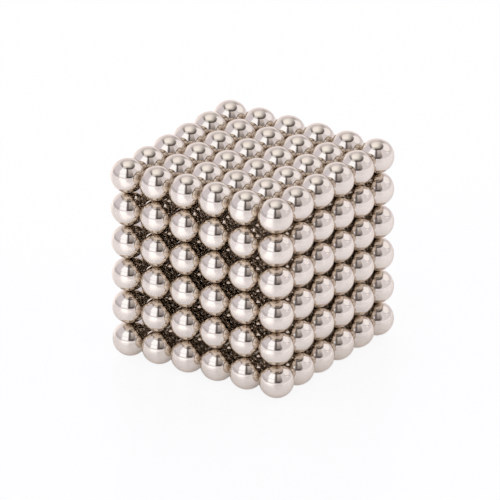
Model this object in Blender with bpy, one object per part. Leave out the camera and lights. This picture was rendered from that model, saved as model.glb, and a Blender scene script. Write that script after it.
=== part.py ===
"""A desk sculpture of magnetic balls: a 6 x 6 x 6 cube, modelled as vertical strands.

Metres, +Z up. The cube stands on z = 0, centred on the Z axis. Columns are counted x1, x2, ...
from left (-X) to right (+X) and y1, y2, ... from front (-Y) to back (+Y); levels are counted
z1, z2, ... from the bottom.

The balls of one strand cling pole to pole, and a small disc stands in for that contact.
Each column on the outside of the cube is a strand with one loose ball on top of it, and each
column inside the cube is a strand of the full height.
"""

import math

import bpy

# Driving dimensions
BALL_DIAMETER = 0.005
BALLS_PER_EDGE = 6
CONTACT_GAP = 0.0001  # clearance between balls of different pieces

# Facets of one ball
SIDES_AROUND = 8  # a multiple of 4, so that corners point at all four neighbours
SIDES_POLE_TO_POLE = 6
SMOOTH_ANGLE = math.radians(50)

# Finish: polished nickel plating, linear colour
NICKEL_COLOUR = (0.66, 0.61, 0.54, 1.0)
NICKEL_ROUGHNESS = 0.08

PITCH = BALL_DIAMETER
EQUATOR_RADIUS = (BALL_DIAMETER - CONTACT_GAP) / 2


def clear_scene():
    for thing in list(bpy.data.objects):
        bpy.data.objects.remove(thing, do_unlink=True)


def nickel_plating():
    """The polished nickel plating that every ball has."""
    material = bpy.data.materials.new("nickel_plating")
    material.use_nodes = True
    shader = material.node_tree.nodes["Principled BSDF"]
    shader.inputs["Base Color"].default_value = NICKEL_COLOUR
    shader.inputs["Metallic"].default_value = 1.0
    shader.inputs["Roughness"].default_value = NICKEL_ROUGHNESS


def column_position(number):
    """Where the axis of column 1, 2, ... lies, along X or along Y."""
    return (number - (BALLS_PER_EDGE + 1) / 2) * PITCH


def is_outside(column_x, column_y):
    """Whether a column is on one of the cube's four upright faces."""
    return {column_x, column_y} & {1, BALLS_PER_EDGE} != set()


def ball_outline(bottom, top):
    """One ball's (radius, height) points, from its bottom pole disc to its top one.

    The outline follows a regular polygon with a flat at each pole and one at the equator.
    """
    middle, half_height = (bottom + top) / 2, (top - bottom) / 2
    step = math.pi / SIDES_POLE_TO_POLE
    angles = [(i + 0.5) * step for i in range(SIDES_POLE_TO_POLE)]
    to_corner = 1 / math.cos(step / 2)
    return [
        (
            EQUATOR_RADIUS * to_corner * math.sin(angle),
            middle - half_height * to_corner * math.cos(angle),
        )
        for angle in angles
    ]


def strand_outline(lowest_level, highest_level, clearance_below):
    """The outline of touching balls; each shares its top disc with the ball above it."""
    outline = []
    for level in range(lowest_level, highest_level + 1):
        bottom = (level - 1) * PITCH
        if level == lowest_level:
            bottom += clearance_below
        points = ball_outline(bottom, level * PITCH)
        outline += points[1:] if outline else points
    return outline


def turned_mesh(name, outline, axis_x):
    """A closed solid: the outline turned about an upright axis at axis_x, and capped."""
    corners = [2 * math.pi * i / SIDES_AROUND for i in range(SIDES_AROUND)]
    vertices = [
        (axis_x + radius * math.cos(corner), radius * math.sin(corner), height)
        for radius, height in outline
        for corner in corners
    ]
    faces = [tuple(reversed(range(SIDES_AROUND)))]
    for ring in range(len(outline) - 1):
        for side in range(SIDES_AROUND):
            next_side = (side + 1) % SIDES_AROUND
            low, high = ring * SIDES_AROUND, (ring + 1) * SIDES_AROUND
            faces.append((low + side, low + next_side, high + next_side, high + side))
    last_ring = (len(outline) - 1) * SIDES_AROUND
    faces.append(tuple(range(last_ring, last_ring + SIDES_AROUND)))

    mesh = bpy.data.meshes.new(name)
    mesh.from_pydata(vertices, [], faces)
    mesh.shade_smooth()
    mesh.set_sharp_from_angle(angle=SMOOTH_ANGLE)
    mesh.materials.append(bpy.data.materials["nickel_plating"])
    return mesh


def add_piece(name, mesh, joint_x, joint_y):
    """A piece with its origin on its own joint's upright axis, at the height of the floor."""
    piece = bpy.data.objects.new(name, mesh)
    piece.location = (joint_x, joint_y, 0)
    bpy.context.scene.collection.objects.link(piece)


def build():
    clear_scene()
    nickel_plating()
    full = strand_outline(1, BALLS_PER_EDGE, 0)
    short = strand_outline(1, BALLS_PER_EDGE - 1, 0)
    loose = strand_outline(BALLS_PER_EDGE, BALLS_PER_EDGE, CONTACT_GAP)

    full_strand = turned_mesh("full_strand", full, 0)
    short_strand = turned_mesh("short_strand", short, 0)
    loose_ball = turned_mesh("loose_ball", loose, 0)
    # A strand that rolls around its left neighbour turns about that neighbour's axis.
    rolling_strand = turned_mesh("rolling_strand", short, PITCH)

    columns = range(1, BALLS_PER_EDGE + 1)
    for column_y in columns:
        for column_x in columns:
            x, y = column_position(column_x), column_position(column_y)
            column = f"x{column_x}_y{column_y}"
            if not is_outside(column_x, column_y):
                add_piece(f"strand_{column}", full_strand, x, y)
                continue
            if column_y == 1 and column_x > 1:
                add_piece(f"strand_{column}", rolling_strand, x - PITCH, y)
            else:
                add_piece(f"strand_{column}", short_strand, x, y)
            add_piece(f"ball_{column}_z{BALLS_PER_EDGE}", loose_ball, x, y)


build()
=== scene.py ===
"""A desk sculpture of magnetic balls, a 6 x 6 x 6 cube, in a small product studio.

Lengths are metres. Bearings are degrees seen from above: 0 is behind the cube (+Y), 90 to its right
(+X), 180 in front of it and 270 to its left. Heights are degrees above the horizon.

Polished balls show the whole room, so most of this script is the room: curved panels around the
cube, flat panels above it and a white table. Their colours are linear, and 1 is the level of the
room.
"""

import math

import bmesh
import bpy
from mathutils import Euler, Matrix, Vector


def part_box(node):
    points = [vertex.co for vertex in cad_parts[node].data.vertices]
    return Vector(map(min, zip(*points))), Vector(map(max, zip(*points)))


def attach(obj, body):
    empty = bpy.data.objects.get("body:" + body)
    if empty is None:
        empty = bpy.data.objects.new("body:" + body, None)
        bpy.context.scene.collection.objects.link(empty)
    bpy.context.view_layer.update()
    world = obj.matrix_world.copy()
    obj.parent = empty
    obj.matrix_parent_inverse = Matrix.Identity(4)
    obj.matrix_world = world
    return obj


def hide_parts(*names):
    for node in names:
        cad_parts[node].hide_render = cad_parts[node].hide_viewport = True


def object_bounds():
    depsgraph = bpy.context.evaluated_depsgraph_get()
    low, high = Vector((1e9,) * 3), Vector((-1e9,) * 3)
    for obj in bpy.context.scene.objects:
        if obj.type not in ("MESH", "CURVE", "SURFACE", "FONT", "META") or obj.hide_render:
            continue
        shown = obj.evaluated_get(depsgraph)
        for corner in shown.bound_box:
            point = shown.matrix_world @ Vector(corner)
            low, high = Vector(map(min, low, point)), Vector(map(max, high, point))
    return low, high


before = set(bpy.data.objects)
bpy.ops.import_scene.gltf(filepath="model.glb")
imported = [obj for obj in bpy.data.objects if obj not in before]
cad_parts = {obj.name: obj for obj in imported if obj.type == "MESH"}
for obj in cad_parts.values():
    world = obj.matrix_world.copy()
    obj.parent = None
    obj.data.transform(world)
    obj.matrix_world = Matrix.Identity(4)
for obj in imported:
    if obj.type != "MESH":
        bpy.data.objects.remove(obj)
CAD_LOW, CAD_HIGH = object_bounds()

# Balls
BALLS_PER_EDGE = 6
PITCH = (CAD_HIGH.z - CAD_LOW.z) / BALLS_PER_EDGE
BALL_DIAMETER = PITCH - 0.00001
CUTS_PER_CUBE_EDGE = 15

# Nickel reflects these shares of red, green and blue: head-on where it is clean, head-on where it
# is hazy, and at a grazing angle.
NICKEL_CLEAN = (0.650, 0.569, 0.482, 1.0)
NICKEL_HAZY = (0.618, 0.541, 0.459, 1.0)
NICKEL_EDGE = (0.76, 0.72, 0.68, 1.0)
POLISHED_ROUGHNESS = 0.04
HAZE_ROUGHNESS = 0.035  # added where the haze is thickest
SCRATCH_ROUGHNESS = 0.06  # added on a scratch
PIT_DEPTH = 0.000004

# Camera
CAMERA_BEARING = 145.18
CAMERA_HEIGHT = 24.12
CAMERA_DISTANCE = 0.973
CAMERA_ROLL = math.radians(0.37)
LENS = 498.5  # mm
SENSOR = 36  # mm
AIM_LEFT = 0.00045
AIM_DOWN = 0.00040

# Studio
STUDIO_RADIUS = 0.9
LIGHT_LEVEL = 1.05  # strength of the room and of every panel
ROOM_COLOUR = (0.97, 0.97, 1.10, 1.0)
TABLE_HALF_WIDTH = 3.0
TABLE_COLOUR = (0.90, 0.91, 0.96, 1.0)
TABLE_GLOW_COLOUR = (0.92, 0.94, 1.0, 1.0)
TABLE_GLOW = 0.39  # what the balls see added to the light on the table
TABLE_WHITE_SHARE = 0.9  # the share of pure white in the table that the camera sees
WHITE = (1.0, 1.0, 1.0, 1.0)


def direction(bearing, height):
    """The unit vector towards a bearing and a height, both in degrees."""
    b, h = math.radians(bearing), math.radians(height)
    return Vector((math.sin(b) * math.cos(h), math.cos(b) * math.cos(h), math.sin(h)))


class Nodes:
    """A small helper that adds nodes to a node tree and links them."""

    def __init__(self, tree):
        self.tree = tree
        tree.nodes.clear()

    def add(self, kind, inputs=None, **settings):
        node = self.tree.nodes.new(kind)
        for name, value in settings.items():
            setattr(node, name, value)
        for name, value in (inputs or {}).items():
            self.set(node.inputs[name], value)
        return node

    def set(self, socket, value):
        if isinstance(value, bpy.types.NodeSocket):
            self.tree.links.new(value, socket)
        else:
            socket.default_value = value

    def math(self, operation, *values, clamp=False):
        node = self.add("ShaderNodeMath", operation=operation, use_clamp=clamp)
        for socket, value in zip(node.inputs, values):
            self.set(socket, value)
        return node.outputs[0]

    def ramp(self, value, low, high, to_low=0.0, to_high=1.0):
        """Smoothly from to_low at low to to_high at high."""
        node = self.add(
            "ShaderNodeMapRange",
            {
                "Value": value,
                "From Min": low,
                "From Max": high,
                "To Min": to_low,
                "To Max": to_high,
            },
            interpolation_type="SMOOTHSTEP",
        )
        return node.outputs["Result"]

    def mix_colours(self, share, first, second):
        """The second colour, in this share, over the first."""
        node = self.add("ShaderNodeMix", data_type="RGBA")
        for index, value in zip((0, 6, 7), (share, first, second)):
            self.set(node.inputs[index], value)
        return node.outputs[2]

    def mix_shaders(self, share, first, second):
        """The second shader, in this share, over the first."""
        sockets = {"Fac": share, 1: first.outputs[0], 2: second.outputs[0]}
        return self.add("ShaderNodeMixShader", sockets)


def nickel_plating():
    """Polished nickel: a warm mirror with handling haze, hairline scratches and fine pits."""
    material = bpy.data.materials.new("nickel_plating_polished")
    material.use_nodes = True
    n = Nodes(material.node_tree)
    place = n.add("ShaderNodeTexCoord").outputs["Object"]
    # Every strand gets its own part of each pattern.
    own = n.math("MULTIPLY", n.add("ShaderNodeObjectInfo").outputs["Random"], 60.0)

    clouds = n.add(
        "ShaderNodeTexNoise",
        {"Vector": place, "W": own, "Scale": 420.0, "Detail": 3.0},
        noise_dimensions="4D",
    )
    haze = n.ramp(clouds.outputs[0], 0.42, 0.72)

    # Hairlines are noise drawn out along one slanting direction.
    drawn_out = n.add(
        "ShaderNodeMapping",
        {"Vector": place, "Scale": (1.0, 14.0, 1.0), "Rotation": (0.4, 0.9, 0.2)},
    )
    streaks = n.add(
        "ShaderNodeTexNoise",
        {"Vector": drawn_out.outputs[0], "W": own, "Scale": 900.0, "Detail": 6.0, "Roughness": 0.7},
        noise_dimensions="4D",
    )
    scratches = n.ramp(streaks.outputs[0], 0.62, 0.74)

    cells = n.add(
        "ShaderNodeTexVoronoi",
        {"Vector": place, "W": own, "Scale": 2600.0},
        voronoi_dimensions="4D",
    )
    pits = n.ramp(cells.outputs["Distance"], 0.10, 0.03)

    tint = n.mix_colours(haze, NICKEL_CLEAN, NICKEL_HAZY)

    rough = n.math("ADD", POLISHED_ROUGHNESS, n.math("MULTIPLY", haze, HAZE_ROUGHNESS))
    rough = n.math("ADD", rough, n.math("MULTIPLY", scratches, SCRATCH_ROUGHNESS))
    relief = n.math("SUBTRACT", n.math("MULTIPLY", scratches, -0.4), pits)
    bump = n.add("ShaderNodeBump", {"Height": relief, "Strength": 0.15, "Distance": PIT_DEPTH})

    shader = n.add(
        "ShaderNodeBsdfPrincipled",
        {
            "Base Color": tint,
            "Metallic": 1.0,
            "Roughness": rough,
            "Specular Tint": NICKEL_EDGE,
            "Normal": bump.outputs[0],
        },
    )
    n.add("ShaderNodeOutputMaterial", {"Surface": shader.outputs[0]})
    return material


def glow(name, colour, far_colour, soft_across, soft_up):
    """A panel that glows from colour, at v = 0, to far_colour, at v = 1, with edges that fade out.

    soft_across and soft_up are shares of its width and height.
    """
    material = bpy.data.materials.new(name)
    material.use_nodes = True
    n = Nodes(material.node_tree)
    uv = n.add("ShaderNodeSeparateXYZ", {"Vector": n.add("ShaderNodeUVMap").outputs[0]})

    def inside(value, soft):
        to_edge = n.math("MINIMUM", value, n.math("SUBTRACT", 1.0, value))
        return n.ramp(to_edge, 0.0, max(soft, 1e-4))

    cover = n.math("MULTIPLY", inside(uv.outputs[0], soft_across), inside(uv.outputs[1], soft_up))
    shade = n.mix_colours(n.ramp(uv.outputs[1], 0.15, 0.9), (*colour, 1.0), (*far_colour, 1.0))
    light = n.add("ShaderNodeEmission", {"Color": shade, "Strength": LIGHT_LEVEL})
    mix = n.mix_shaders(cover, n.add("ShaderNodeBsdfTransparent"), light)
    n.add("ShaderNodeOutputMaterial", {"Surface": mix.outputs[0]})
    return material


def studio_piece(name, mesh):
    thing = bpy.data.objects.new(name, mesh)
    bpy.context.scene.collection.objects.link(thing)
    return thing


def sheet(name, place, uv, across, up, material):
    """A grid of faces; place and uv give a point and a texture point for two shares from 0 to 1."""
    bm = bmesh.new()
    layer = bm.loops.layers.uv.new("UVMap")
    rows, columns = range(up + 1), range(across + 1)
    grid = [[bm.verts.new(place(i / across, j / up)) for i in columns] for j in rows]
    for j in range(up):
        for i in range(across):
            corners = ((i, j), (i + 1, j), (i + 1, j + 1), (i, j + 1))
            face = bm.faces.new([grid[row][column] for column, row in corners])
            for loop, (column, row) in zip(face.loops, corners):
                loop[layer].uv = uv(column / across, row / up)
    mesh = bpy.data.meshes.new(name)
    bm.to_mesh(mesh)
    bm.free()
    mesh.materials.append(material)
    thing = studio_piece(name, mesh)
    thing.visible_camera = False
    return thing


def panel(name, bearings, heights, colour, soft=(0.1, 0.1), top=None, nearer=0.0, lean=0.0):
    """A curved softbox or flag, spanning two bearings and two heights.

    soft gives the shares of its width and height over which its edges fade out, and top is its
    colour at the top. nearer is how far it stands in front of the studio's wall, and lean is how
    many degrees higher its last bearing is than its first.
    """

    def place(a, b):
        bearing = bearings[0] + (bearings[1] - bearings[0]) * a
        height = heights[0] + (heights[1] - heights[0]) * b + lean * a
        return direction(bearing, height) * (STUDIO_RADIUS - nearer)

    material = glow(name, colour, top or colour, *soft)
    return sheet(name, place, lambda a, b: (a, b), 28, 16, material)


def canopy(name, middle, size, hub, height, colour, far_colour, soft):
    """A flat overhead panel, rounded like a bar of soap, with its long axis away from the camera.

    middle, size and hub are (along, across) shares of its height above the table: its centre, half
    of its length and width, and the point from which it fades out towards its edge. The fade takes
    up twice the share soft of that way. far_colour is its colour at its far end.
    """
    away = direction(CAMERA_BEARING + 180, 0)
    right = direction(CAMERA_BEARING + 270, 0)

    def outline(turn):
        c, s = math.cos(turn * 2 * math.pi), math.sin(turn * 2 * math.pi)
        along = middle[0] + size[0] * math.copysign(abs(c) ** 0.6, c)
        return along, middle[1] + size[1] * math.copysign(abs(s) ** 0.6, s)

    def spot(a, b):
        return [hub[i] + (outline(a)[i] - hub[i]) * b for i in (0, 1)]

    def place(a, b):
        along, across = spot(a, b)
        return (away * along + right * across + Vector((0, 0, 1))) * height

    def uv(a, b):
        along = (spot(a, b)[0] - middle[0]) / size[0]
        return 0.5 + 0.5 * b, 0.5 + 0.49 * along

    material = glow(name, colour, far_colour, soft, 0.002)
    return sheet(name, place, uv, 96, 24, material)


def painted_light_wedge(n, place, bearing, strength, near, spread, start, full):
    """A wedge of painted light on the table, where a softbox would light it, that opens towards a
    bearing.

    It is near wide on each side of its middle line at the cube, and widens by spread for every
    metre. It sets in between the distances start and full.
    """
    lengths = []
    for toward in (direction(bearing, 0), direction(bearing + 90, 0)):
        dot = n.add("ShaderNodeVectorMath", {0: place, 1: toward}, operation="DOT_PRODUCT")
        lengths.append(dot.outputs["Value"])
    ahead = n.math("MAXIMUM", lengths[0], 0.0)
    half_width = n.math("ADD", near, n.math("MULTIPLY", ahead, spread))
    share = n.math("DIVIDE", n.math("ABSOLUTE", lengths[1]), half_width)
    return n.math("MULTIPLY", n.ramp(share, 0.5, 1.6, strength, 0.0), n.ramp(ahead, start, full))


def table_top_white():
    """White with a slight sheen, which the balls see brighter than it is: an even glow and two
    wedges of painted light are added for them.

    The camera sees it almost pure white.
    """
    material = bpy.data.materials.new("table_top_white")
    material.use_nodes = True
    n = Nodes(material.node_tree)
    place = n.add("ShaderNodeTexCoord").outputs["Object"]
    grain = n.add("ShaderNodeTexNoise", {"Vector": place, "Scale": 60.0, "Detail": 4.0})
    rough = n.ramp(grain.outputs[0], 0.3, 0.7, 0.24, 0.30)
    sockets = {"Base Color": TABLE_COLOUR, "Roughness": rough, "IOR": 1.8}
    top = n.add("ShaderNodeBsdfPrincipled", sockets)

    # Painted pools of light in front of the front softbox and the back sweep, which only the balls
    # see.
    painted_light_from_front_softbox = painted_light_wedge(n, place, 181, 0.42, 0.008, 0.23, 0.018, 0.040)
    painted_light_from_back_sweep = painted_light_wedge(n, place, 297, 0.36, 0.012, 0.5, 0.012, 0.030)
    level = n.math("ADD", TABLE_GLOW, n.math("MAXIMUM", painted_light_from_front_softbox, painted_light_from_back_sweep))
    rays = n.add("ShaderNodeLightPath")
    strength = n.math("MULTIPLY", rays.outputs["Is Glossy Ray"], level)
    lift = n.add("ShaderNodeEmission", {"Color": TABLE_GLOW_COLOUR, "Strength": strength})
    lit = n.add("ShaderNodeAddShader", {0: top.outputs[0], 1: lift.outputs[0]})

    white = n.add("ShaderNodeEmission", {"Color": WHITE, "Strength": 1.0})
    white_share = n.math("MULTIPLY", rays.outputs["Is Camera Ray"], TABLE_WHITE_SHARE)
    mix = n.mix_shaders(white_share, lit, white)
    n.add("ShaderNodeOutputMaterial", {"Surface": mix.outputs[0]})
    return material


def table_top():
    """A large table top, which the cube stands on."""
    half = TABLE_HALF_WIDTH
    corners = [(-half, -half, 0), (half, -half, 0), (half, half, 0), (-half, half, 0)]
    mesh = bpy.data.meshes.new("table_top")
    mesh.from_pydata(corners, [], [(0, 1, 2, 3)])
    mesh.materials.append(table_top_white())
    studio_piece("table_top", mesh)


def room():
    """The white room. The camera sees it white; it lights and reflects as a pale cool grey."""
    world = bpy.data.worlds.new("room")
    bpy.context.scene.world = world
    world.use_nodes = True
    n = Nodes(world.node_tree)
    grey = n.add("ShaderNodeBackground", {"Color": ROOM_COLOUR, "Strength": LIGHT_LEVEL})
    white = n.add("ShaderNodeBackground", {"Color": WHITE, "Strength": 1.0})
    mix = n.mix_shaders(n.add("ShaderNodeLightPath").outputs["Is Camera Ray"], grey, white)
    n.add("ShaderNodeOutputWorld", {"Surface": mix.outputs[0]})


def walls():
    """The wall on the left and what stands behind the cube."""
    panel("left_wall", (205, 268), (-2, 65), (0.89, 0.90, 1.05), (0.10, 0.08), lean=-10)
    panel("left_wall_foot", (203, 266), (-1, 18), (0.67, 0.67, 0.77), (0.12, 0.4), nearer=0.02)
    panel(
        "back_sweep",
        (266, 354),
        (-4, 36),
        (1.42, 1.42, 1.58),
        (0.16, 0.2),
        top=(1.14, 1.14, 1.27),
        nearer=0.01,
    )
    panel("back_corner", (330, 368), (22, 52), (0.60, 0.59, 0.65), (0.4, 0.4), nearer=0.02)
    panel("rear_softbox", (2, 72), (16, 54), (1.28, 1.30, 1.45), (0.15, 0.12), nearer=0.03)
    panel(
        "rear_softbox_hem",
        (34, 75),
        (10, 14),
        (0.38, 0.35, 0.38),
        (0.15, 0.5),
        nearer=0.04,
        lean=26,
    )


def front_softboxes():
    """The bright window that every ball shows, in two parts, and the glow above it."""
    light = (1.46, 1.58, 1.80)
    panel("front_softbox", (154, 220), (27.5, 63), light, (0.235, 0.08), nearer=0.03)
    panel("front_softbox_low", (155, 209), (3, 32), light, (0.22, 0.3), nearer=0.035)
    panel("front_softbox_glow", (164, 238), (56, 77), (0.93, 0.93, 1.02), (0.3, 0.35), nearer=0.12)


def dark_boards():
    """The beige board on the right and the dark edges around it."""
    panel(
        "beige_board",
        (101, 146),
        (10, 60),
        (0.345, 0.325, 0.345),
        (0.25, 0.04),
        top=(0.74, 0.72, 0.77),
        nearer=0.03,
    )
    panel("dark_upright", (134, 163), (4, 66), (0.15, 0.135, 0.14), (0.42, 0.05), nearer=0.05)
    panel("dark_foot", (102, 163), (2, 18.5), (0.11, 0.095, 0.098), (0.42, 0.3), nearer=0.06)


def overhead_lights():
    """A large soft light above the cube and its dark frame."""
    canopy(
        "overhead_rim",
        middle=(0.42, -0.05),
        size=(1.02, 0.80),
        hub=(0.42, -0.05),
        height=0.80,
        colour=(0.11, 0.095, 0.09),
        far_colour=(0.88, 0.87, 0.95),
        soft=0.04,
    )
    canopy(
        "overhead_softbox",
        middle=(0.35, 0.035),
        size=(0.80, 0.59),
        hub=(0.20, -0.32),
        height=0.78,
        colour=(1.40, 1.42, 1.48),
        far_colour=(1.15, 1.15, 1.24),
        soft=0.37,
    )


def studio():
    room()
    table_top()
    walls()
    front_softboxes()
    dark_boards()
    overhead_lights()


def camera():
    """A long lens at the photograph's angle."""
    back = direction(CAMERA_BEARING, CAMERA_HEIGHT)
    right = Vector((0, 0, 1)).cross(back).normalized()
    up = back.cross(right)
    centre = (CAD_LOW + CAD_HIGH) / 2
    aim = centre - right * AIM_LEFT - up * AIM_DOWN
    data = bpy.data.cameras.new("camera")
    data.lens, data.sensor_width = LENS, SENSOR
    data.clip_start, data.clip_end = 0.05, 20
    thing = bpy.data.objects.new("camera", data)
    thing.location = aim + back * CAMERA_DISTANCE
    turn = (-back).to_track_quat("-Z", "Y") @ Euler((0, 0, -CAMERA_ROLL)).to_quaternion()
    thing.rotation_mode = "QUATERNION"
    thing.rotation_quaternion = turn
    bpy.context.scene.collection.objects.link(thing)
    bpy.context.scene.camera = thing


def ball_mesh():
    """A finely divided cube blown up to a sphere, with even faces and no poles."""
    bm = bmesh.new()
    bmesh.ops.create_cube(bm, size=2)
    bmesh.ops.subdivide_edges(bm, edges=bm.edges[:], cuts=CUTS_PER_CUBE_EDGE, use_grid_fill=True)
    for vertex in bm.verts:
        even = Vector([math.tan(value * math.pi / 4) for value in vertex.co])
        vertex.co = even.normalized() * BALL_DIAMETER / 2
    mesh = bpy.data.meshes.new("magnet")
    bm.to_mesh(mesh)
    bm.free()
    return mesh


def strand_mesh(ball, count, material):
    """Balls stacked pole to pole, the lowest one at the origin."""
    bm = bmesh.new()
    for level in range(count):
        first = len(bm.verts)
        bm.from_mesh(ball)
        bm.verts.ensure_lookup_table()
        bmesh.ops.translate(bm, vec=(0, 0, level * PITCH), verts=bm.verts[first:])
    mesh = bpy.data.meshes.new(f"magnets_{count}")
    bm.to_mesh(mesh)
    bm.free()
    mesh.shade_smooth()
    mesh.materials.append(material)
    return mesh


def balls():
    """The balls of every CAD strand, which ride on its body; strands of one length share a mesh."""
    ball = ball_mesh()
    material = nickel_plating()
    meshes = {}
    for node in sorted(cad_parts):
        low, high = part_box(node)
        count = round((high.z - low.z) / PITCH)
        if count not in meshes:
            meshes[count] = strand_mesh(ball, count, material)
        magnets = bpy.data.objects.new(f"magnets_of_{node}", meshes[count])
        lowest = high.z - (count - 0.5) * PITCH
        magnets.location = ((low.x + high.x) / 2, (low.y + high.y) / 2, lowest)
        bpy.context.scene.collection.objects.link(magnets)
        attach(magnets, node)
        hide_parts(node)
    bpy.data.meshes.remove(ball)


bpy.context.scene.view_settings.view_transform = "Standard"
camera()
studio()
balls()
